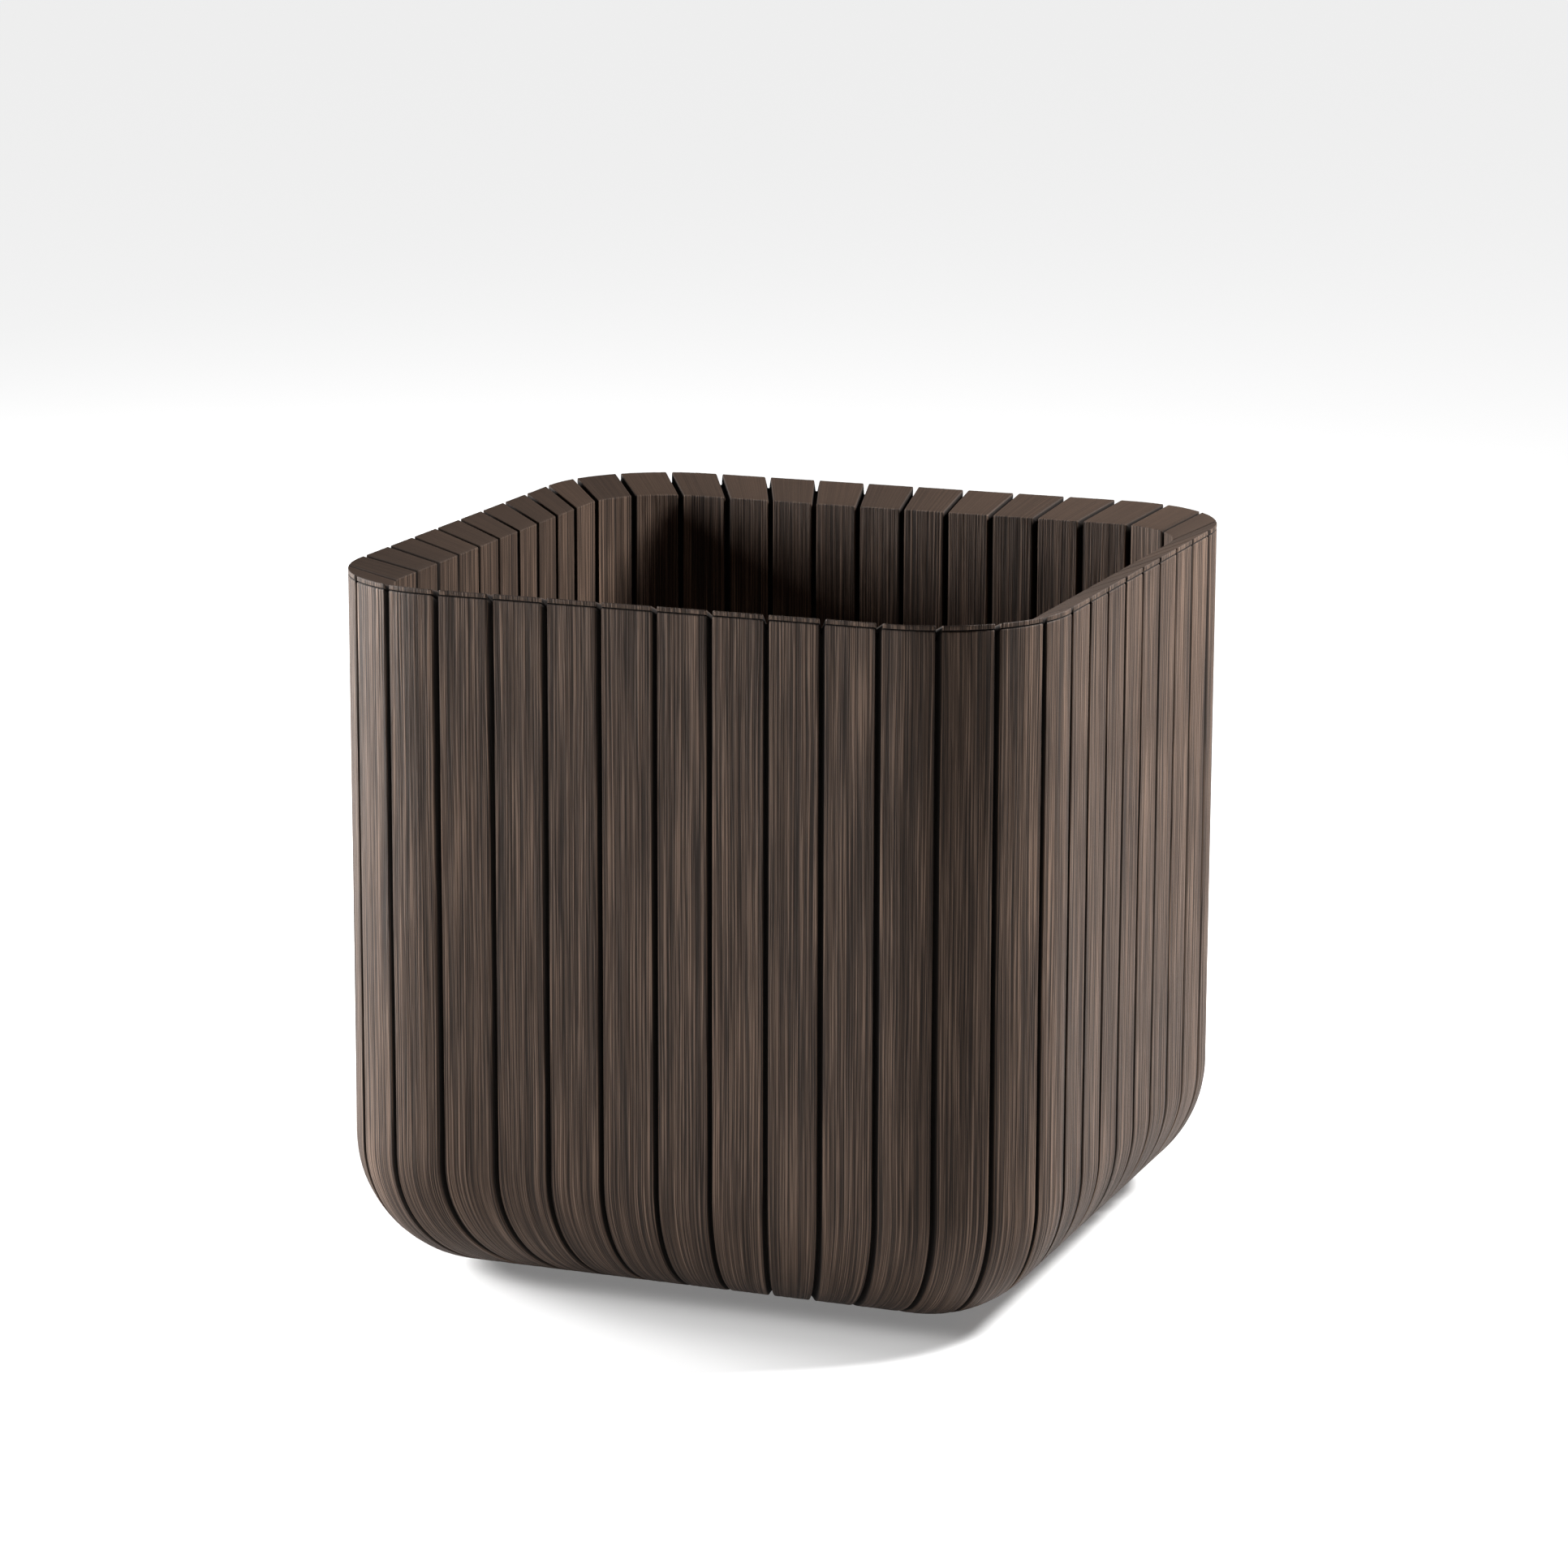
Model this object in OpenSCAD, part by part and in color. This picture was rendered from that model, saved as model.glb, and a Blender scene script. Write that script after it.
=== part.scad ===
// Square planter box moulded in dark brown resin to look like upright wooden staves.
// The outer shell stands on four snap-in feet and catches water. The inner liner hangs
// in it by its sloping rim and holds the soil, with a lift-out grate over its drain holes.
// Millimetres, +Z up. Origin: centre of the footprint, on the surface it stands on.

/* [Body] */
// Outside width and depth
outer_w = 395; // [329:1:480]
// Height from the underside of the shell to the outer edge of the rim, without the feet
body_h = 378; // [310:1:460]
// Radius of the four upright corners
corner_r = 72; // [60:1:90]
// Radius of the rounded bottom edge
base_r = 71; // [50:1:71]
// Thickness of the moulded walls
wall = 3; // [2.4:0.1:4]
// Thickness of the shell's flat bottom
floor_t = 4; // [3:0.1:6]

/* [Staves] */
// Staves on each side, a whole corner counted with it
staves_per_side = 12; // [8:2:16]
// Width of the grooves between the staves
groove_w = 2.4; // [1.5:0.1:3.5]
// Depth of the grooves
groove_depth = 4; // [2:0.1:5]
// How far in from the side the grooves run under the bottom edge
groove_end = 64; // [40:1:68]

/* [Rim and liner] */
// Depth of the rim, from its outer edge to the planting opening
rim_d = 24.3; // [18:0.1:32]
// How much lower the rim's inner edge lies
rim_drop = 9.5; // [4:0.1:14]
// Height of the rim's outer band, above the joint with the shell
band_h = 3; // [2.5:0.1:6]
// Bevel on both edges of the joint, which make a thin line round the body
joint_bevel = 0.8; // [0.4:0.1:1.5]
// Depth of the locating lip below the joint
lip_h = 5.5; // [3:0.1:10]
// Clearance between the lip and the shell's wall
lip_clear = 0.4; // [0.2:0.05:1]
// Water space between the shell's bottom and the liner's
water_h = 38; // [25:1:60]
// Radius of the liner's rounded bottom edge
liner_r = 20; // [10:1:30]
// Diameter of the drain holes in the liner
drain_hole_d = 10; // [6:0.5:16]

/* [Grate] */
// Height of the grate's top above the liner's floor
grate_h = 25; // [20:1:50]
// Thickness of the grate and its skirt
grate_t = 3; // [2:0.1:5]
// Gap round the grate
grate_clear = 2; // [1:0.1:5]
// Depth of the skirt under the grate's edge
skirt_h = 6; // [0:0.5:12]
// Spacing of the grate's holes
hole_pitch = 28; // [24:0.5:34]
// Least distance from a hole's centre to the grate's edge
hole_margin = 20; // [18:0.5:40]
// Diameter of the grate's holes
hole_d = 8; // [4:0.5:10]
// Diameter of the four finger holes
finger_d = 26; // [20:0.5:28]
// Diameter of the grate's legs
leg_d = 14; // [10:0.5:20]

/* [Drain plug] */
// Diameter of the drain bore in the shell's bottom
drain_d = 24; // [16:0.5:40]
// Radial clearance of the plug in the drain bore
plug_clear = 0.1; // [0.05:0.01:0.3]
// Length of the plug above its seal
plug_len = 7; // [4:0.5:14]
// How far the plug's head reaches past the bore
head_rim = 8; // [6:0.5:14]
// Thickness of the plug's head
head_t = 3.5; // [2.5:0.1:6]
// Thickness of the seal under the head
seal_t = 1.5; // [1:0.1:3]
// Width of the coin slot in the head
slot_w = 3; // [2:0.1:6]
// Depth of the coin slot
slot_h = 2; // [1:0.1:2]

/* [Feet] */
// Distance from the sides to the middle of a foot
foot_inset = 97.5; // [95:0.5:110]
// Diameter of a foot
foot_d = 32; // [20:0.5:40]
// How far a foot stands out below the shell
foot_proud = 3; // [1.5:0.1:6]
// How deep a foot sits in its socket
foot_seat = 4; // [2:0.1:6]
// Diameter of the snap stem of a foot
stem_d = 8; // [6:0.1:12]
// Radial clearance of a foot in its socket, and of its stem in its hole
foot_clear = 0.1; // [0.05:0.01:0.3]
// Width of the barb's shoulder on the stem
barb_w = 1; // [0.6:0.1:2]
// Height of the barb
barb_h = 4; // [3:0.1:6]

/* [Hidden] */
$fn = 96;
over = 1;                                       // how far a cut runs past a face
rib_gap = 0.5;                                  // air between the lip and the ribs under it
half_w = outer_w / 2;
flat_half = half_w - corner_r;                  // where the flat sides meet the corners
round_r = min(base_r, corner_r - 1);            // the bottom edge stays inside the corner
base_z = foot_proud;                            // underside of the shell
top_z = base_z + body_h;                        // outer edge of the rim
joint_z = top_z - band_h;                       // where the liner sits on the shell
boss_t = floor_t;                               // wall left over a socket in the bottom
rim_slope = rim_drop / rim_d;
rim_t = wall * sqrt(1 + rim_slope * rim_slope); // the rim's wall, measured upright
lip_out = wall + lip_clear;                     // the lip's faces, in from the side
lip_in = lip_out + wall;
lip_z = joint_z - lip_h;
rib_top = lip_z - rib_gap;
liner_z = base_z + floor_t + water_h;           // underside of the liner
liner_floor = liner_z + wall;
liner_wall_r = corner_r - rim_d;                // the liner's inner corner radius
grate_z = liner_floor + grate_h;                // top of the grate
leg_spacing = 3 * hole_pitch;
finger_spacing = 2 * hole_pitch;
drain_spacing = 4 * hole_pitch;                 // between the grate's holes, clear of its legs
head_d = drain_d + 2 * head_rim;
foot_spacing = outer_w - 2 * foot_inset;        // between the feet, centre to centre
seal_z = base_z + head_t;                       // the seal lies on the plug's head
seat_z = seal_z + seal_t;                       // ceiling of the plug's counterbore
plug_shank_d = drain_d - 2 * plug_clear;
head_clear = 0.5;                               // round the plug's head
seal_inset = 1;                                 // of the seal, in from the head's edge
foot_edge = 1;                                  // chamfer round the foot
BROWN = [0.24, 0.18, 0.15];
GREY = [0.16, 0.16, 0.16];
BLACK = [0.06, 0.06, 0.06];

// Angle about the centre of the groove that lies k staves from the middle of a side.
// Grooves are evenly spaced round the outline: along the flat side, then round the corner.
side_len = 2 * flat_half + PI / 2 * corner_r;
function groove_angle(k) =
    let (s = k * side_len / staves_per_side, bend = (s - flat_half) / corner_r * 180 / PI)
    s <= flat_half ? atan(s / half_w)
                   : atan2(flat_half + corner_r * sin(bend), flat_half + corner_r * cos(bend));

// Sweeps a section round the outline. Its x is measured from the corner's own axis.
module around() {
    for (side = [0:3]) rotate(side * 90) translate([flat_half, flat_half, 0]) {
        rotate_extrude(angle = 90) children();
        rotate([90, 0, 0]) linear_extrude(2 * flat_half) children();
    }
}

// The square between the four corner axes
module middle(z, t) {
    translate([-flat_half, -flat_half, z]) cube([2 * flat_half, 2 * flat_half, t]);
}

// Points of a square grid that lie up to r outside the square between the corner axes.
// The grid has a point at the centre if odd, and four about it if not.
function grid(pitch, odd, r) =
    let (n = ceil(half_w / pitch), start = odd ? 0 : 0.5)
    [for (i = [-n:n], j = [-n:n]) let (x = (i + start) * pitch, y = (j + start) * pitch)
        if (norm([max(abs(x) - flat_half, 0), max(abs(y) - flat_half, 0)]) <= r) [x, y]];

// Upright plates along every groove, in planes through the centre
module stave_planes(w) {
    for (side = [0:3], k = [-staves_per_side / 2 : staves_per_side / 2 - 1])
        rotate(side * 90 + sign(k) * groove_angle(abs(k)))
            translate([flat_half, -w / 2, 0]) cube([outer_w - flat_half, w, top_z + 2 * over]);
}

// Filled section from the corner axis out to x = r, rounded where it meets its bottom
module bucket_section(r, bottom, top, round) {
    translate([0, bottom + round]) square([r, top - bottom - round]);
    translate([0, bottom]) square([r - round, round]);
    translate([r - round, bottom + round]) intersection() {
        circle(round);
        translate([0, -round]) square(round);
    }
}

// The shell's outline, set in by an amount
module outline_section(inset, top) {
    bucket_section(corner_r - inset, base_z + inset, top, round_r - inset);
}

// What the grooves remove: a skin over the side, the bottom edge, the rim and the inside
module groove_section() {
    side_x = corner_r - groove_depth;
    intersection() {
        difference() {
            outline_section(-over, top_z + over);
            outline_section(groove_depth, top_z + 2 * over);
        }
        translate([corner_r - groove_end, 0]) square([groove_end + over, top_z + over]);
    }
    polygon([[corner_r, top_z - groove_depth],
             [corner_r, top_z + over],
             [liner_wall_r, top_z - rim_drop + over],
             [liner_wall_r, top_z - rim_drop - groove_depth]]);
    translate([liner_wall_r - over, grate_z])
        square([groove_depth + over, top_z - rim_drop - grate_z]);
}

module grooves() {
    intersection() {
        around() groove_section();
        stave_planes(groove_w);
    }
}

module foot_places() {
    for (x = [-1, 1], y = [-1, 1])
        translate([x * foot_spacing / 2, y * foot_spacing / 2, 0]) children();
}

module outer_shell() {
    color(BROWN) difference() {
        union() {
            around() difference() {
                outline_section(0, joint_z);
                bucket_section(corner_r - wall, base_z + floor_t, joint_z + over, round_r - wall);
                polygon([[corner_r - joint_bevel, joint_z],
                         [corner_r - joint_bevel, joint_z + over],
                         [corner_r + over, joint_z + over],
                         [corner_r + over, joint_z - joint_bevel],
                         [corner_r, joint_z - joint_bevel]]);
            }
            middle(base_z, floor_t);
            // Ribs behind the grooves keep the wall closed
            intersection() {
                around() difference() {
                    outline_section(wall / 2, rib_top);
                    outline_section(wall + groove_depth, rib_top + over);
                }
                stave_planes(groove_w + 2 * wall);
            }
            translate([0, 0, base_z + floor_t / 2])
                cylinder(h = seat_z + boss_t - base_z - floor_t / 2, d = head_d + 2 * wall);
            foot_places() translate([0, 0, base_z + floor_t / 2])
                cylinder(h = foot_seat + boss_t - floor_t / 2, d = foot_d + 2 * wall);
        }
        grooves();
        translate([0, 0, base_z - over]) {
            cylinder(h = seat_z - base_z + over, d = head_d + 2 * head_clear);
            cylinder(h = seat_z + boss_t - base_z + 2 * over, d = drain_d);
        }
        foot_places() translate([0, 0, base_z - over]) {
            cylinder(h = foot_seat + over, d = foot_d + 2 * foot_clear);
            cylinder(h = foot_seat + boss_t + 2 * over, d = stem_d);
        }
    }
}

module inner_liner() {
    rib_x = liner_wall_r + wall + groove_depth;
    lip_mid = (lip_out + lip_in) / 2;
    floor_r = liner_wall_r + wall - liner_r;    // where the flat of the floor ends
    color(BROWN) difference() {
        union() {
            around() difference() {
                union() {
                    bucket_section(liner_wall_r + wall, liner_z, top_z - rim_drop, liner_r);
                    // The rim, with its outer band and the lip that locates it in the shell
                    polygon([[corner_r, top_z],
                             [liner_wall_r, top_z - rim_drop],
                             [liner_wall_r, top_z - rim_drop - rim_t],
                             [corner_r - lip_in, top_z - rim_slope * lip_in - rim_t],
                             [corner_r - lip_in, lip_z],
                             [corner_r - lip_out, lip_z],
                             [corner_r - lip_out, joint_z],
                             [corner_r - joint_bevel, joint_z],
                             [corner_r, joint_z + joint_bevel]]);
                }
                bucket_section(liner_wall_r, liner_floor, top_z, liner_r - wall);
            }
            middle(liner_z, wall);
            // Ribs behind the grooves, under the rim and down the wall
            intersection() {
                around() {
                    polygon([[corner_r - lip_mid, top_z - rim_slope * lip_mid - rim_t / 2],
                             [liner_wall_r + wall / 2, top_z - rim_drop - rim_t / 2],
                             [liner_wall_r + wall / 2, top_z - rim_drop - rim_t - groove_depth],
                             [corner_r - lip_mid, top_z - rim_slope * lip_mid - rim_t]]);
                    translate([liner_wall_r + wall / 2, liner_z + liner_r])
                        square([wall / 2 + groove_depth,
                                top_z - rim_drop - rim_t - liner_z - liner_r]);
                }
                stave_planes(groove_w + 2 * wall);
            }
        }
        grooves();
        for (p = grid(drain_spacing, false, floor_r - drain_hole_d / 2))
            translate([p.x, p.y, liner_z - over])
                cylinder(h = wall + 2 * over, d = drain_hole_d);
    }
}

module drain_grate() {
    edge_r = liner_wall_r - grate_clear;
    color(GREY) difference() {
        union() {
            around() {
                translate([0, grate_z - grate_t]) square([edge_r, grate_t]);
                translate([edge_r - grate_t, grate_z - grate_t - skirt_h])
                    square([grate_t, skirt_h]);
            }
            middle(grate_z - grate_t, grate_t);
            for (p = grid(leg_spacing, true, edge_r - hole_margin))
                translate([p.x, p.y, liner_floor])
                    cylinder(h = grate_h - grate_t / 2, d = leg_d);
        }
        for (p = grid(hole_pitch, false, edge_r - hole_margin))
            translate([p.x, p.y, grate_z - grate_t - over])
                cylinder(h = grate_t + 2 * over, d = hole_d);
        for (a = [0:90:270]) rotate(a) translate([finger_spacing, 0, grate_z - grate_t - over])
            cylinder(h = grate_t + 2 * over, d = finger_d);
    }
}

module drain_plug() {
    color(BLACK) difference() {
        union() {
            translate([0, 0, base_z]) cylinder(h = head_t, d = head_d);
            translate([0, 0, base_z + head_t / 2])
                cylinder(h = head_t / 2 + seal_t + plug_len, d = plug_shank_d);
        }
        translate([-slot_w / 2, -head_d / 4, base_z - over])
            cube([slot_w, head_d / 2, slot_h + over]);
    }
}

module plug_seal() {
    color(BLACK) translate([0, 0, seal_z]) difference() {
        cylinder(h = seal_t, d = head_d - 2 * seal_inset);
        translate([0, 0, -over]) cylinder(h = seal_t + 2 * over, d = drain_d);
    }
}

module foot(x, y) {
    stem_r = stem_d / 2 - foot_clear;
    seat = foot_proud + foot_seat;
    color(BLACK) translate([x * foot_spacing / 2, y * foot_spacing / 2, 0])
        rotate_extrude() polygon([[0, 0], [foot_d / 2 - foot_edge, 0], [foot_d / 2, foot_edge],
                                  [foot_d / 2, seat], [stem_r, seat], [stem_r, seat + boss_t],
                                  [stem_d / 2 + barb_w, seat + boss_t],
                                  [stem_r, seat + boss_t + barb_h], [0, seat + boss_t + barb_h]]);
}

module foot_front_left() foot(-1, -1);
module foot_front_right() foot(1, -1);
module foot_rear_left() foot(-1, 1);
module foot_rear_right() foot(1, 1);

outer_shell();
inner_liner();
drain_grate();
drain_plug();
plug_seal();
foot_front_left();
foot_front_right();
foot_rear_left();
foot_rear_right();
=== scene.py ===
import math

import bmesh
import bpy
import numpy as np
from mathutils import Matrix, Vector


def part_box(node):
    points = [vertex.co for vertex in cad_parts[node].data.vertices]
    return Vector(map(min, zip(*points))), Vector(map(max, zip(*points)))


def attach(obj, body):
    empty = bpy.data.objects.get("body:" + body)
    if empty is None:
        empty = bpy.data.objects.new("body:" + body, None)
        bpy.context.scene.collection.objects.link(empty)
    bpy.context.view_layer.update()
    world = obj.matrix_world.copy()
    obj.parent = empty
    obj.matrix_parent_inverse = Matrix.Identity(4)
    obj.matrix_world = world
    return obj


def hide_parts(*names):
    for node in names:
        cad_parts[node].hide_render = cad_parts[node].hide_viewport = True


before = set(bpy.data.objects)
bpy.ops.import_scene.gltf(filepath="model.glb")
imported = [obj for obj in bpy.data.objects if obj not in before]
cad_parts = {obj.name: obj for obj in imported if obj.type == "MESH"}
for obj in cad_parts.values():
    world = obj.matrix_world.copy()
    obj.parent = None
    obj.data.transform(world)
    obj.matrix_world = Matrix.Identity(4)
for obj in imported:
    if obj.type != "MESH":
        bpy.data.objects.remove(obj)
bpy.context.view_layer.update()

MM = 0.001

# Sizes read from the frame, in metres
SHELL_LOW, SHELL_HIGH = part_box("outer_shell")
LINER_LOW, LINER_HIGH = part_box("inner_liner")
GRATE_LOW, GRATE_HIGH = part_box("drain_grate")
PLUG_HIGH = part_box("drain_plug")[1]
SEAL_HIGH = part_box("plug_seal")[1]
FOOT_LOW, FOOT_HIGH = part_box("foot_front_right")
HALF = SHELL_HIGH.x              # half the outside width
BASE = SHELL_LOW.z               # underside of the shell
JOINT = SHELL_HIGH.z             # where the liner's rim sits on the shell
TOP = LINER_HIGH.z               # outer edge of the rim
LINER_BASE = LINER_LOW.z
FLOOR_TOP = GRATE_LOW.z          # the liner's floor, which the grate's legs stand on

# Sizes of the mouldings, in metres
CORNER = 72 * MM                 # radius of the upright corners
BELLY = 71 * MM                  # radius of the bottom edge
WALL = 3 * MM
SHELL_FLOOR = 4 * MM
RIM_DEPTH = 24.3 * MM
RIM_DROP = 9.5 * MM
RIM_WALL = 3.22 * MM
LIP_OUT = 3.4 * MM
LIP_IN = 7.5 * MM
LIP_BASE = JOINT - 5.5 * MM
RIB_TOP = LIP_BASE - 0.5 * MM
LINER_ROUND = 20 * MM
GROOVE = 4 * MM                  # depth of the grooves
GROOVE_END = 64 * MM             # how far under the belly they run
EDGE = 0.6 * MM                  # rounding of the rim's edges
STAVES = 48
PER_SIDE = STAVES // 4
BOSS = 3 * MM                    # wall round the sockets in the shell's floor
DRAIN_RADIUS = 12 * MM
HEAD_CLEAR = 0.5 * MM            # round the plug's head
FOOT_SEAT = 4 * MM               # depth of a foot's socket
FOOT_CLEAR = 0.1 * MM
STEM_RADIUS = 4 * MM             # hole for the stem of a foot
HOLE_RADIUS = 5 * MM             # drain holes of the liner
HOLE_OFFSET = 56 * MM            # from the centre to them, both ways
FLAT = HALF - CORNER             # centre to where the corners begin
SLOPE = RIM_DROP / RIM_DEPTH
SIDE = 2 * FLAT + math.pi / 2 * CORNER
AROUND = 4 * SIDE
PITCH = AROUND / STAVES

# Half of a groove's cross-section: distance from its middle, and share of its full depth
GROOVE_SECTION = ((0.0, 1.0), (0.5, 0.99), (1.05, 0.5), (1.5, 0.12), (1.75, 0.03), (2.1, 0.0))
RIB_FROM, RIB_TO = 2.3 * MM, 5.2 * MM    # a rib behind a groove narrows between these
STAVE_COLUMNS = 15               # mesh columns between two grooves
SHARP = math.radians(38)         # an edge that turns more than this isn't smoothed
FLAT_COMB = 0.15                 # how combed the flats at the bottom are

# The combed relief of the staves, in millimetres: how deep it is on average, how much it
# varies from column to column and over a stave, and the most it sinks
RELIEF_MEAN, RELIEF_FINE, RELIEF_WIDE, RELIEF_MOST = 0.2, 0.1, 0.03, 0.5
RELIEF_STEP = 0.11               # distance along a stave between its changes, in metres
RELIEF_FADE = 3 * MM             # it fades out over this distance towards a groove

# The bake map: the outline lies in strips, one above the other, above the two flats
BAKE_STRIPS = 3
STRIPS_FROM, STRIPS_HEIGHT = 0.13, 0.87
FLATS_SIZE, FLATS_FROM, FLATS_APART = 0.12, 0.06, 0.2
HIDDEN_SHARE = 0.12              # map height of an unseen row, against a seen one

# Noise of the grain: its scale across a stave, along it and from stave to stave
FINE_LINES, RIDGES, BANDS = (1900, 12, 5), (1000, 6, 7), (200, 4, 11)
STAINS, SPECKS, WANDER = (30, 9, 1.7), (1700, 700, 1), (40, 7, 3.1)
WANDER_WIDTH = 0.0022            # how far the grain wanders sideways, in metres
BROWN = ((0.0165, 0.010, 0.0068, 1), (0.052, 0.0318, 0.0215, 1), (0.154, 0.1, 0.071, 1))

FLOOR_SIZE = 30                  # half the floor's width, in metres
FLOOR_GLOW, FAR_GLOW, WORLD = 0.2, 0.65, 0.005
AHEAD_X, AHEAD_Y = -0.358, 0.934     # level direction in which the camera looks
CAMERA_PLACE = (0.9891, -2.5958, TOP + 0.4929)
CAMERA_YAW, CAMERA_PITCH, CAMERA_ROLL = 20.99, 12.71, -0.16      # degrees
LENS, SENSOR = 120, 36


# ---------------------------------------------------------------- outline and columns

def groove_angle(index):
    """Angle about the centre of a groove. Grooves are evenly spaced round the outline."""
    side, step = divmod(index + PER_SIDE // 2, PER_SIDE)
    along = (step - PER_SIDE // 2) * PITCH
    bend = (abs(along) - FLAT) / CORNER
    if bend <= 0:
        turn = math.atan2(along, HALF)
    else:
        far = FLAT + CORNER * math.sin(bend)
        turn = math.copysign(math.atan2(far, FLAT + CORNER * math.cos(bend)), along)
    return side * math.pi / 2 + turn


def reach(angle, inset):
    """Distance from the centre to the outline, set in by an amount, along an angle."""
    c, s = np.abs(np.cos(angle)), np.abs(np.sin(angle))
    big, small = np.maximum(c, s), np.minimum(c, s)
    flat = (HALF - inset) / big
    middle = FLAT * (big + small)
    inside = np.maximum(middle ** 2 - 2 * FLAT ** 2 + (CORNER - inset) ** 2, 0)
    return np.where(flat * small <= FLAT, flat, middle + np.sqrt(inside))


class Columns:
    """The mesh columns round the outline: a few across each groove, the rest on the staves."""

    def __init__(self, jitter):
        offsets = [o * MM for o, _ in GROOVE_SECTION]
        near = [-o for o in reversed(offsets[1:])] + offsets
        self.angles = np.array([groove_angle(k) for k in range(STAVES)]) + jitter
        groove, offset, share = [], [], []
        for k in range(STAVES):
            for o in near:
                groove.append(k)
                offset.append(o)
                share.append(0.0)
            for i in range(1, STAVE_COLUMNS + 1):
                groove.append(k)
                offset.append(offsets[-1])
                share.append(i / (STAVE_COLUMNS + 1))
        self.groove = np.array(groove)
        self.offset = np.array(offset)
        self.share = np.array(share)
        self.count = len(groove)
        flat_part = PITCH - 2 * offsets[-1]
        across = np.where(self.share > 0, offsets[-1] + self.share * flat_part, self.offset)
        self.across = across        # from the groove, along the outline
        self.away = np.minimum(np.abs(across), PITCH - across)
        self.around = self.groove * PITCH + across
        depth = np.array([d for _, d in GROOVE_SECTION])
        self.cut = np.interp(self.away, offsets, depth)
        fall = np.clip((RIB_TO - self.away) / (RIB_TO - RIB_FROM), 0, 1)
        self.rib = fall * fall * (3 - 2 * fall)
        # A face's stave: a face on the first half of a groove belongs to the stave before
        self.stave = (self.groove - (across < -1e-9)) % STAVES

    def angle_at(self, inset):
        """Angle of each column at an inset, where the grooves keep their width."""
        radius = reach(self.angles, inset)
        here = self.angles[self.groove] + np.arcsin(self.offset / radius[self.groove])
        after = (self.groove + 1) % STAVES
        turn = np.where(self.groove == STAVES - 1, 2 * math.pi, 0)
        following = self.angles[after] + turn - np.arcsin(self.offset / radius[after])
        return np.where(self.share > 0, here + (following - here) * self.share, here)


# ---------------------------------------------------------------- profiles

def slope_z(inset):
    """Height of the rim's top face."""
    return TOP - SLOPE * inset


def arc(centre, radius, start, end, count):
    """Points of an arc in a section, its angles in degrees."""
    turn = np.radians(np.linspace(start, end, count))
    return [(centre[0] - radius * math.cos(t), centre[1] - radius * math.sin(t)) for t in turn]


class Profile:
    """A section swept round the outline. Each row has a point, the point it sinks to in a
    groove or rises to on a rib, which of these it follows, how combed its surface is, how
    far the combing shows in its shape, and how much painted shade it gets from lying in a gap."""

    def __init__(self):
        self.rows = []

    def add(self, point, deep=None, follows="cut", comb=0.0, relief=0.0, recess_shade=0.0):
        self.rows.append((point, deep or point, follows, comb, relief, recess_shade))

    def arrays(self):
        point = np.array([r[0] for r in self.rows])
        deep = np.array([r[1] for r in self.rows])
        rib = np.array([r[2] == "rib" for r in self.rows])
        comb = np.array([r[3] for r in self.rows])
        relief = np.array([r[4] for r in self.rows])
        recess_shade = np.array([r[5] for r in self.rows])
        return point, deep, rib, comb, relief, recess_shade


def shell_profile():
    """From the flat of the underside, out round the belly, up the wall, over the top edge
    and down the inside to the flat of the floor."""
    p = Profile()
    p.add((BELLY + 0.5 * MM, BASE))
    for degrees in np.linspace(90, 0, 25):
        turn = math.radians(degrees)
        inset = BELLY * (1 - math.cos(turn))
        z = BASE + BELLY * (1 - math.sin(turn))
        depth = GROOVE * min(max((GROOVE_END - inset) / (5 * MM), 0), 1)
        deep = (inset + depth * math.cos(turn), z + depth * math.sin(turn))
        p.add((inset, z), deep, comb=1 - 0.45 * degrees / 90, relief=1 - 0.6 * degrees / 90)
    for z in np.linspace(BASE + BELLY, RIB_TOP, 27)[1:]:
        p.add((0, z), (GROOVE, z), comb=1, relief=1)
    notch = RIB_TOP + 0.1 * MM
    for z in (RIB_TOP + 1.5 * MM, JOINT - 2 * MM, JOINT - 0.9 * MM):
        p.add((0, z), (GROOVE, notch), comb=1, relief=1)
    p.add((0.15 * MM, JOINT - 0.5 * MM), (GROOVE + 0.1 * MM, notch), comb=0.8, relief=0.5)
    # The rows at the joint's gap carry painted shade in the material
    p.add((0.8 * MM, JOINT), (GROOVE + 0.2 * MM, notch), comb=0.4, recess_shade=1)
    p.add((WALL, JOINT), (WALL + GROOVE - 0.1 * MM, notch))
    p.add((WALL, RIB_TOP + 0.1 * MM), (WALL + GROOVE, notch))
    p.add((WALL, RIB_TOP), (WALL + GROOVE, RIB_TOP), "rib")
    inner = BELLY - WALL
    for z in np.linspace(RIB_TOP, BASE + BELLY, 7)[1:]:
        p.add((WALL, z), (WALL + GROOVE, z), "rib")
    for degrees in np.linspace(0, 90, 12)[1:]:
        turn = math.radians(degrees)
        inset = WALL + inner * (1 - math.cos(turn))
        z = BASE + SHELL_FLOOR + (BELLY - SHELL_FLOOR) * (1 - math.sin(turn))
        depth = GROOVE * min(max((GROOVE_END - inset) / (8 * MM), 0), 1)
        p.add((inset, z), (inset + depth * math.cos(turn), z + depth * math.sin(turn)), "rib")
    return p


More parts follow.
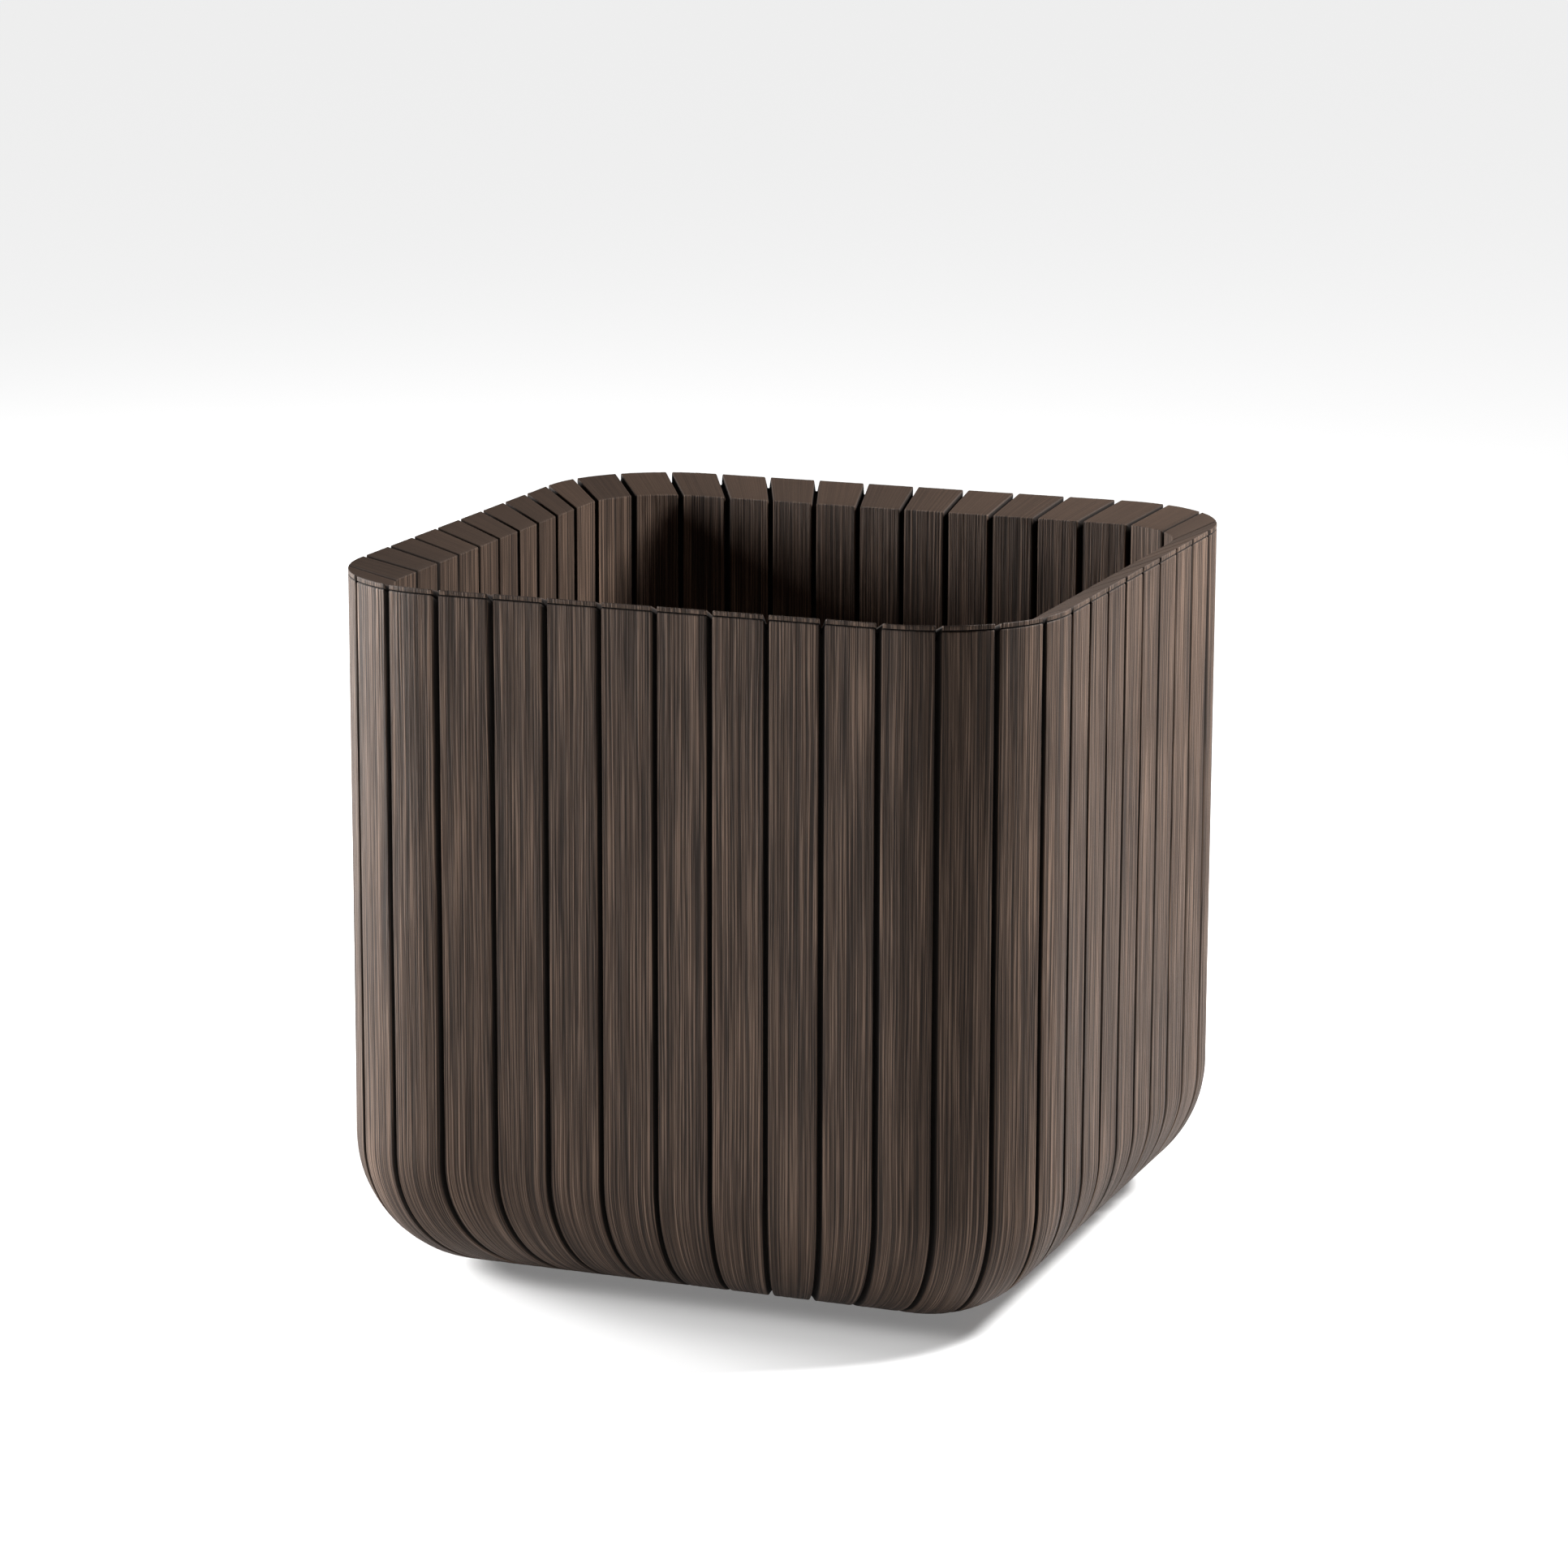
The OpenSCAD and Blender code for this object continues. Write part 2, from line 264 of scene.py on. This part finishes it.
def liner_profile():
    """From the flat of the liner's floor, up the inside wall, over the rim, under its band
    and lip, and down the outside to the flat of its underside."""
    p = Profile()
    inner_round = LINER_ROUND - WALL
    floor_inset = RIM_DEPTH + inner_round
    deep_wall = RIM_DEPTH - GROOVE
    sink = GROOVE * math.hypot(1, SLOPE)
    corner_z = slope_z(deep_wall) - sink
    edge_z = slope_z(RIM_DEPTH)
    for inset, z in arc((floor_inset, FLOOR_TOP + inner_round), inner_round, 90, 0, 6):
        p.add((inset, z), comb=0.7, relief=0.5)
    start = GRATE_HIGH.z
    p.add((RIM_DEPTH, start - 1 * MM), comb=0.8, relief=1)
    for z in np.linspace(start + 1 * MM, corner_z, 22):
        p.add((RIM_DEPTH, z), (deep_wall, z), comb=1, relief=1)
    corner = (deep_wall, corner_z)
    for z in (corner_z + 1.2 * MM, edge_z - 1.2 * MM, edge_z - EDGE):
        p.add((RIM_DEPTH, z), corner, comb=1, relief=1)
    p.add((RIM_DEPTH - 0.12 * EDGE, edge_z - 0.35 * EDGE), corner, comb=0.8, relief=0.6)
    p.add((RIM_DEPTH - 0.5 * EDGE, edge_z + 0.02 * EDGE), corner, comb=0.6, relief=0.3)
    # The rim top is little combed, which gives it a darker tone in the material: partly its own
    # tone, partly painted shade
    for inset in np.linspace(RIM_DEPTH - 1.3 * EDGE, 1.2 * EDGE, 8):
        under = min(max(inset, GROOVE), deep_wall)
        p.add((inset, slope_z(inset)), (under, slope_z(under) - sink), comb=0.12, relief=0.25)
    notch = slope_z(GROOVE) - sink
    p.add((0.5 * EDGE, slope_z(0) - 0.28 * EDGE), (GROOVE, notch), comb=0.3, relief=0.3)
    p.add((0.12 * EDGE, TOP - 0.62 * EDGE), (GROOVE, notch), comb=0.6, relief=0.6)
    for z in (TOP - 1.3 * EDGE, (TOP + JOINT) / 2, JOINT + 0.8 * MM):
        p.add((0, z), (GROOVE, notch), comb=1, relief=1)
    p.add((0.15 * MM, JOINT + 0.45 * MM), (GROOVE, notch - 0.05 * MM), comb=0.8, relief=0.5)
    # The rows at the joint's gap carry painted shade in the material
    p.add((1.2 * MM, JOINT), (GROOVE + 0.1 * MM, notch - 0.1 * MM), comb=0.4, recess_shade=1)
    p.add((LIP_OUT, JOINT), (5.0 * MM, notch - 0.15 * MM), recess_shade=1)
    p.add((LIP_OUT, JOINT - 2 * MM), (5.0 * MM, notch - 0.3 * MM))
    p.add((LIP_OUT, LIP_BASE), (5.0 * MM, LIP_BASE))
    p.add((LIP_IN, LIP_BASE), (LIP_IN, LIP_BASE), "rib")
    under_lip = slope_z(LIP_IN) - RIM_WALL
    p.add((LIP_IN, under_lip), (LIP_IN, under_lip - sink), "rib")
    back = RIM_DEPTH - WALL
    for inset in np.linspace(LIP_IN, back, 4)[1:]:
        under = min(inset, back - GROOVE)
        p.add((inset, slope_z(inset) - RIM_WALL), (under, slope_z(under) - RIM_WALL - sink), "rib")
    for z in np.linspace(slope_z(back - GROOVE) - RIM_WALL - sink, LINER_BASE + LINER_ROUND, 7):
        p.add((back, z), (back - GROOVE, z), "rib")
    for inset, z in arc((back + LINER_ROUND, LINER_BASE + LINER_ROUND), LINER_ROUND, 0, 90, 6)[1:]:
        p.add((inset, z))
    return p


# ---------------------------------------------------------------- swept meshes

def relief_field(columns, lengths, seed):
    """How far each vertex sinks to form the combed relief. Every column keeps its depth
    for some way, then drifts."""
    rng = np.random.default_rng(seed)
    knots = np.arange(0, lengths[-1] + 0.2, RELIEF_STEP)
    heights = rng.normal(0, 1, (len(knots), columns.count))
    fine = np.array([np.interp(lengths, knots, heights[:, i]) for i in range(columns.count)]).T
    broad_knots = rng.normal(0, 1, (len(knots), STAVES, 3))
    place = columns.across / PITCH
    waves = np.stack([np.cos(math.pi * (n + 1) * place) for n in range(3)], 1)
    broad = np.einsum("ksn,cn->ksc", broad_knots, waves)
    own = np.array([broad[:, columns.stave[i], i] for i in range(columns.count)]).T
    wide = np.array([np.interp(lengths, knots, own[:, i]) for i in range(columns.count)]).T
    depth = RELIEF_MEAN + RELIEF_FINE * fine + RELIEF_WIDE * wide
    return np.clip(depth, 0, RELIEF_MOST) * MM


def sweep(profile, columns, seed):
    """Vertices, rows x columns x 3, and each row's distance along the section."""
    point, deep, rib, _, relief, _ = profile.arrays()
    steps = np.linalg.norm(np.diff(point, axis=0), axis=1)
    lengths = np.concatenate([[0], np.cumsum(steps)])
    field = relief_field(columns, lengths, seed)
    places = np.empty((len(point), columns.count, 3))
    for i in range(len(point)):
        share = columns.rib if rib[i] else columns.cut
        way = deep[i] - point[i]
        depth = np.linalg.norm(way)
        if depth > 0 and relief[i] > 0:
            fade = np.clip(columns.away / RELIEF_FADE, 0, 1)
            share = share + relief[i] * field[i] * fade / depth
        section = point[i] + share[:, None] * way
        angle = columns.angle_at(point[i][0])
        radius = reach(angle, section[:, 0])
        places[i, :, 0] = radius * np.cos(angle)
        places[i, :, 1] = radius * np.sin(angle)
        places[i, :, 2] = section[:, 1]
    return places, lengths


def ring(bm, centre, radius, z, count=48):
    """Vertices of a level circle."""
    turn = [2 * math.pi * i / count for i in range(count)]
    return [bm.verts.new((centre[0] + radius * math.cos(t), centre[1] + radius * math.sin(t), z))
            for t in turn]


def ring_edges(bm, verts):
    """The closed loop of edges through vertices, made where they are missing."""
    pairs = zip(verts, verts[1:] + verts[:1])
    return [bm.edges.get(pair) or bm.edges.new(pair) for pair in pairs]


def lathe(bm, centre, steps):
    """Joins rings of the given (radius, z) steps. Returns the first and the last ring."""
    rings = [ring(bm, centre, r, z) for r, z in steps]
    for a, b in zip(rings, rings[1:]):
        for i in range(len(a)):
            j = (i + 1) % len(a)
            bm.faces.new((a[i], a[j], b[j], b[i]))
    return rings[0], rings[-1]


def fill(bm, rings):
    """Fills a flat face between an outer ring and the holes in it."""
    edges = [e for verts in rings for e in ring_edges(bm, verts)]
    bmesh.ops.triangle_fill(bm, use_beauty=True, use_dissolve=False, edges=edges)


def moulding(name, profile, columns, seed, bores):
    """A closed mesh of the swept profile, with its two flats filled round the bores.
    Each bore is (centre, steps), its steps running from the first flat to the last."""
    places, lengths = sweep(profile, columns, seed)
    rows, count = places.shape[:2]
    mesh = bpy.data.meshes.new(name)
    bm = bmesh.new()
    verts = [bm.verts.new(p) for p in places.reshape(-1, 3).tolist()]
    for r in range(rows - 1):
        for c in range(count):
            d = (c + 1) % count
            bm.faces.new((verts[r * count + c], verts[r * count + d],
                          verts[(r + 1) * count + d], verts[(r + 1) * count + c]))
    swept_faces = len(bm.faces)
    ends = [lathe(bm, centre, steps) for centre, steps in bores]
    fill(bm, [verts[:count]] + [a for a, _ in ends])
    fill(bm, [verts[-count:]] + [b for _, b in ends])
    bmesh.ops.recalc_face_normals(bm, faces=bm.faces)
    bm.to_mesh(mesh)
    bm.free()
    mesh.polygons.foreach_set("use_smooth", [True] * len(mesh.polygons))
    mesh.set_sharp_from_angle(angle=SHARP)
    lay_grain(mesh, profile, columns, lengths, swept_faces)
    piece = bpy.data.objects.new(name, mesh)
    bpy.context.scene.collection.objects.link(piece)
    return piece


def write_corners(mesh, name, kind, key, values):
    """Stores values on a mesh's face corners, for its material to read."""
    layer = mesh.attributes.new(name, kind, "CORNER")
    layer.data.foreach_set(key, values.astype(np.float32).ravel())


def lay_grain(mesh, profile, columns, lengths, swept_faces):
    """Writes where each corner lies on its stave: across, along and the stave's number.
    The material's grain follows these. Also lays a bake map, OFBake."""
    count = columns.count
    vertex = np.empty(len(mesh.loops), int)
    mesh.loops.foreach_get("vertex_index", vertex)
    totals = np.empty(len(mesh.polygons), int)
    mesh.polygons.foreach_get("loop_total", totals)
    face = np.repeat(np.arange(len(totals)), totals)
    spots = np.empty(len(mesh.vertices) * 3)
    mesh.vertices.foreach_get("co", spots)
    spots = spots.reshape(-1, 3)[vertex]
    swept = face < swept_faces
    face_column = face % count
    row = np.where(swept, vertex // count, 0)
    column = np.where(swept, vertex % count, 0)
    wrapped = swept & (column == 0) & (face_column == count - 1)
    around = columns.around[column] + np.where(wrapped, AROUND, 0)
    stave = columns.stave[(face_column + 1) % count]
    grain = np.stack([np.where(swept, around, spots[:, 0]),
                      np.where(swept, lengths[row], spots[:, 1]),
                      np.where(swept, stave, STAVES + 1)], 1)
    write_corners(mesh, "grain", "FLOAT_VECTOR", "vector", grain)

    point, deep, rib, comb, _, gap = profile.arrays()
    write_corners(mesh, "comb", "FLOAT", "value", np.where(swept, comb[row], FLAT_COMB))
    # Painted shade: the grooves and the gap at the joint get a mask that darkens their colour in
    # the material
    cut = ~rib & (np.linalg.norm(deep - point, axis=1) > 0)
    groove = np.clip((columns.cut - 0.05) / 0.3, 0, 1)
    recess_shade = np.where(swept, np.maximum(gap[row], cut[row] * groove[column]), 0)
    write_corners(mesh, "recess_shade", "FLOAT", "value", recess_shade)

    start = columns.around[0]
    strip_width = AROUND / BAKE_STRIPS
    place = columns.around[face_column] + 1e-6 - start
    strip = np.clip(place // strip_width, 0, BAKE_STRIPS - 1)
    u = (around - start - strip * strip_width) / strip_width
    height = STRIPS_HEIGHT / BAKE_STRIPS
    v = STRIPS_FROM + height * (strip + 0.985 * map_share(lengths, comb)[row])
    flat_u = FLATS_FROM + (spots[:, 0] + HALF) / (2 * HALF) * FLATS_SIZE
    flat_v = (spots[:, 1] + HALF) / (2 * HALF) * FLATS_SIZE
    second = face >= swept_faces + (len(totals) - swept_faces) // 2
    flat_u += np.where(second, FLATS_APART, 0)
    both = np.stack([np.where(swept, 0.002 + 0.996 * u, flat_u), np.where(swept, v, flat_v)], 1)
    uv = mesh.uv_layers.new(name="OFBake")
    uv.data.foreach_set("uv", both.astype(np.float32).ravel())


def map_share(lengths, comb):
    """Each row's place on its strip of the bake map, where seen rows get the most room."""
    weight = np.where((comb[1:] > 0) | (comb[:-1] > 0), 1.0, HIDDEN_SHARE)
    spans = np.diff(lengths) * weight
    return np.concatenate([[0], np.cumsum(spans)]) / spans.sum()


# ---------------------------------------------------------------- materials

class Nodes:
    """Short ways to add and join a material's nodes."""

    def __init__(self, name):
        self.material = bpy.data.materials.new(name)
        self.material.use_nodes = True
        self.tree = self.material.node_tree
        self.shader = self.tree.nodes["Principled BSDF"]

    def add(self, kind, **settings):
        node = self.tree.nodes.new("ShaderNode" + kind)
        for key, value in settings.items():
            setattr(node, key, value)
        return node

    def join(self, source, target):
        self.tree.links.new(source, target)

    def put(self, socket, value):
        """Sets a socket to a value, or joins it to another socket."""
        if isinstance(value, bpy.types.NodeSocket):
            self.join(value, socket)
        else:
            socket.default_value = value

    def maths(self, operation, a, b=0.0):
        node = self.add("Math", operation=operation)
        self.put(node.inputs[0], a)
        self.put(node.inputs[1], b)
        return node.outputs[0]

    def blend(self, *parts):
        """Sum of (socket, weight) pairs."""
        total = None
        for socket, weight in parts:
            part = self.maths("MULTIPLY", socket, weight)
            total = part if total is None else self.maths("ADD", total, part)
        return total

    def centred(self, socket, weight):
        """A 0 to 1 value turned into a swing about 0."""
        return self.maths("MULTIPLY", self.maths("SUBTRACT", socket, 0.5), weight)

    def ranged(self, value, low, high, to_low=0.0, to_high=1.0):
        """A smooth step from one range to another."""
        node = self.add("MapRange", interpolation_type="SMOOTHSTEP")
        for socket, v in zip(node.inputs, (value, low, high, to_low, to_high)):
            self.put(socket, v)
        return node.outputs[0]

    def noise(self, vector, scale, detail=2.0, rough=0.5):
        """Noise stretched by a scale on each axis."""
        fit = self.add("VectorMath", operation="MULTIPLY")
        self.join(vector, fit.inputs[0])
        fit.inputs[1].default_value = scale
        node = self.add("TexNoise")
        self.join(fit.outputs[0], node.inputs["Vector"])
        node.inputs["Scale"].default_value = 1.0
        node.inputs["Detail"].default_value = detail
        node.inputs["Roughness"].default_value = rough
        return node.outputs["Fac"]

    def mix(self, share, a, b):
        node = self.add("Mix", data_type="RGBA")
        self.put(node.inputs[0], share)
        self.put(node.inputs[6], a)
        self.put(node.inputs[7], b)
        return node.outputs[2]

    def bump(self, height, strength, distance):
        node = self.add("Bump")
        node.inputs["Strength"].default_value = strength
        node.inputs["Distance"].default_value = distance
        self.join(height, node.inputs["Height"])
        self.join(node.outputs[0], self.shader.inputs["Normal"])


def resin(name, dark, middle, light):
    """Moulded resin, combed along each stave like weathered wood, with a lighter tone
    brushed over the ridges. The grooves and the joint's gap are painted far darker than the
    unbrushed tone: partly the tone where the brush doesn't reach, partly painted shade."""
    n = Nodes(name)
    place = n.add("Attribute", attribute_name="grain").outputs["Vector"]
    comb = n.add("Attribute", attribute_name="comb").outputs["Fac"]
    recess_shade = n.add("Attribute", attribute_name="recess_shade").outputs["Fac"]
    apart = n.add("SeparateXYZ")
    n.join(place, apart.inputs[0])
    across, along, stave = apart.outputs

    # The grain wanders a little to each side as it runs along the stave
    shift = n.centred(n.noise(place, WANDER, detail=1), WANDER_WIDTH)
    moved = n.add("CombineXYZ")
    n.join(n.maths("ADD", across, shift), moved.inputs[0])
    n.join(along, moved.inputs[1])
    n.join(n.maths("MULTIPLY", stave, 0.37), moved.inputs[2])
    grain = moved.outputs[0]
    fine = n.ranged(n.noise(grain, FINE_LINES, detail=2, rough=0.6), 0.42, 0.6)
    ridge = n.ranged(n.noise(grain, RIDGES, detail=1), 0.42, 0.6)
    bands = n.noise(grain, BANDS, detail=1)
    combed = n.blend((fine, 0.52), (ridge, 0.48))

    # How light the tone is: the combing, a broad stain, and a tone for each stave
    each = n.add("TexWhiteNoise", noise_dimensions="1D")
    n.join(stave, each.inputs["W"])
    tone = n.blend((combed, 0.85), (bands, 0.08))
    # Rows that are less combed get a darker tone; on the smooth rim top this is partly its own
    # tone and partly painted shade for the dim light from above
    lines = n.maths("ADD", n.maths("MULTIPLY", n.maths("SUBTRACT", tone, 0.2), comb), 0.25)
    stain = n.centred(n.noise(place, STAINS, detail=3), 0.1)
    own = n.centred(each.outputs["Value"], 0.08)
    level = n.maths("ADD", n.maths("ADD", lines, stain), own)
    low = n.mix(n.ranged(level, 0.08, 0.5), dark, middle)
    face = n.mix(n.ranged(level, 0.5, 1.0), low, light)
    # Painted shade: the grooves and the joint's gap turn to a colour far darker than the unbrushed
    # tone
    groove_shade_colour = tuple(0.3 * c for c in dark[:3]) + (1,)
    n.join(n.mix(n.ranged(recess_shade, 0.05, 0.6), face, groove_shade_colour), n.shader.inputs["Base Color"])

    speck = n.noise(place, SPECKS, detail=1)
    n.bump(n.maths("ADD", n.maths("MULTIPLY", combed, comb), n.maths("MULTIPLY", speck, 0.15)),
           1.0, 0.0004)
    rough = n.ranged(level, 0.1, 0.9, 0.72, 0.6)
    n.join(n.maths("ADD", rough, n.maths("MULTIPLY", recess_shade, 0.3)), n.shader.inputs["Roughness"])
    n.shader.inputs["IOR"].default_value = 1.46
    n.shader.inputs["Specular IOR Level"].default_value = 0.22
    return n.material


def plastic(name, colour, grain_scale, rough, bump_depth):
    """Plain moulded plastic or rubber, with a fine spark texture and faint mottling."""
    n = Nodes(name)
    place = n.add("TexCoord").outputs["Object"]
    grit = n.noise(place, (grain_scale,) * 3, detail=3, rough=0.6)
    cloud = n.noise(place, (28, 28, 28), detail=2)
    worn = tuple(min(1, c * 1.7 + 0.01) for c in colour[:3]) + (1,)
    share = n.maths("MULTIPLY", n.ranged(cloud, 0.35, 0.75), 0.5)
    n.join(n.mix(share, colour, worn), n.shader.inputs["Base Color"])
    n.join(n.ranged(grit, 0.3, 0.7, rough - 0.07, rough + 0.07), n.shader.inputs["Roughness"])
    n.bump(grit, 0.5, bump_depth)
    return n.material


# ---------------------------------------------------------------- the planter

def shell_bores():
    """The sockets of the feet and the drain, from the underside to the floor inside."""
    inside = BASE + SHELL_FLOOR

    def bore(mouth, seat, hole, boss):
        top = seat + SHELL_FLOOR
        return [(mouth, BASE), (mouth, seat), (hole, seat), (hole, top), (boss, top),
                (boss, inside)]

    radius = (FOOT_HIGH.x - FOOT_LOW.x) / 2
    middle = (FOOT_HIGH.x + FOOT_LOW.x) / 2
    foot = bore(radius + FOOT_CLEAR, BASE + FOOT_SEAT, STEM_RADIUS, radius + BOSS)
    head = PLUG_HIGH.y
    drain = bore(head + HEAD_CLEAR, SEAL_HIGH.z, DRAIN_RADIUS, head + BOSS)
    corners = ((1, 1), (1, -1), (-1, 1), (-1, -1))
    return [((x * middle, y * middle), foot) for x, y in corners] + [((0, 0), drain)]


def liner_bores():
    """The drain holes, from the liner's floor to its underside."""
    steps = [(HOLE_RADIUS, FLOOR_TOP), (HOLE_RADIUS, LINER_BASE)]
    offsets = (-HOLE_OFFSET, HOLE_OFFSET)
    return [((x, y), steps) for x in offsets for y in offsets]


def make_planter():
    """The shell and the liner. The shell's grooves stray a little from the liner's."""
    rng = np.random.default_rng(11)
    jitter = rng.uniform(-0.3, 0.3, STAVES) * MM / HALF
    shell = moulding("outer_shell_body", shell_profile(), Columns(jitter), 3, shell_bores())
    liner = moulding("inner_liner_body", liner_profile(), Columns(0 * jitter), 5, liner_bores())
    for piece, node, body, slot in ((shell, "outer_shell", "shell", "resin_shell"),
                                    (liner, "inner_liner", "liner", "resin_liner")):
        piece.data.materials.append(resin(slot, *BROWN))
        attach(piece, body)
        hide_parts(node)


def dress_cad_pieces():
    """Better materials for the CAD pieces that show as they are."""
    rubber = plastic("foot_rubber_look", (0.022, 0.021, 0.020, 1), 900, 0.72, 0.0002)
    looks = {
        "drain_grate": plastic("grate_look", (0.040, 0.038, 0.036, 1), 1400, 0.55, 0.0001),
        "drain_plug": plastic("plug_look", (0.030, 0.029, 0.028, 1), 1400, 0.5, 0.0001),
        "plug_seal": plastic("seal_look", (0.018, 0.018, 0.018, 1), 700, 0.75, 0.0002),
    }
    for name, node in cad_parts.items():
        look = rubber if name.startswith("foot_") else looks.get(name)
        if look:
            node.data.materials.clear()
            node.data.materials.append(look)


# ---------------------------------------------------------------- the studio

def make_floor():
    """A white table top that glows a little where the camera sees it, and not beside that,
    so that it lights the planter little."""
    mesh = bpy.data.meshes.new("floor")
    corners = ((-1, -1), (1, -1), (1, 1), (-1, 1))
    mesh.from_pydata([(x * FLOOR_SIZE, y * FLOOR_SIZE, 0) for x, y in corners],
                     [], [(0, 1, 2, 3)])
    floor = bpy.data.objects.new("floor", mesh)
    bpy.context.scene.collection.objects.link(floor)
    n = Nodes("floor_white")
    apart = n.add("SeparateXYZ")
    n.join(n.add("TexCoord").outputs["Object"], apart.inputs[0])
    x, y = apart.outputs[0], apart.outputs[1]
    along = n.blend((y, AHEAD_Y), (x, AHEAD_X))
    across = n.blend((x, AHEAD_Y), (y, -AHEAD_X))
    aside = n.maths("SUBTRACT", n.maths("ABSOLUTE", across), n.maths("MULTIPLY", along, 0.15))
    front = n.ranged(along, -0.75, -0.5, 0.05, 1)
    side = n.ranged(aside, 0.5, 0.8, 1, 0.05)
    strength = n.ranged(along, 0.4, 1.4, FLOOR_GLOW, FLOOR_GLOW + FAR_GLOW)
    glow = n.maths("MULTIPLY", n.maths("MULTIPLY", front, side), strength)
    # Far out on every side it glows too, where it hardly lights the planter
    square = n.maths("ADD", n.maths("MULTIPLY", x, x), n.maths("MULTIPLY", y, y))
    ring = n.ranged(square, 1.2, 6.0, 0, FLOOR_GLOW + FAR_GLOW)
    n.join(n.maths("MAXIMUM", glow, ring), n.shader.inputs["Emission Strength"])
    n.shader.inputs["Base Color"].default_value = (0.8, 0.8, 0.8, 1)
    n.shader.inputs["Roughness"].default_value = 0.9
    n.shader.inputs["Specular IOR Level"].default_value = 0.1
    n.shader.inputs["Emission Color"].default_value = (1, 1, 1, 1)
    mesh.materials.append(n.material)


def area_light(name, place, size, power):
    """A soft box at a place, facing the middle of the planter."""
    data = bpy.data.lights.new(name, "AREA")
    data.shape = "RECTANGLE"
    data.size, data.size_y = size
    data.energy = power
    light = bpy.data.objects.new(name, data)
    light.location = place
    aim = Vector((0, 0, TOP / 2)) - light.location
    light.rotation_euler = aim.to_track_quat("-Z", "Y").to_euler()
    bpy.context.scene.collection.objects.link(light)


def make_lights():
    area_light("soft_right", (0.82, 0.42, 0.98), (0.3, 0.3), 36)
    area_light("soft_left", (-2.1, 0.05, 0.7), (0.7, 0.7), 88)
    area_light("fill_left", (-2.1, -0.75, 0.9), (0.7, 0.7), 64)
    area_light("soft_top", (0.0, -0.1, 1.3), (0.3, 0.2), 1.2)
    world = bpy.data.worlds.new("studio")
    bpy.context.scene.world = world
    world.use_nodes = True
    back = world.node_tree.nodes["Background"]
    back.inputs["Color"].default_value = (1, 1, 1, 1)
    back.inputs["Strength"].default_value = WORLD


def make_camera():
    """A long lens, looking a little down on the front and right sides."""
    data = bpy.data.cameras.new("camera")
    data.sensor_width = SENSOR
    data.lens = LENS
    camera = bpy.data.objects.new("camera", data)
    camera.location = CAMERA_PLACE
    yaw, pitch, roll = map(math.radians, (CAMERA_YAW, CAMERA_PITCH, CAMERA_ROLL))
    camera.rotation_euler = (math.pi / 2 - pitch, roll, yaw)
    bpy.context.scene.collection.objects.link(camera)
    bpy.context.scene.camera = camera


make_planter()
dress_cad_pieces()
make_floor()
make_lights()
make_camera()
bpy.context.scene.view_settings.view_transform = "Standard"
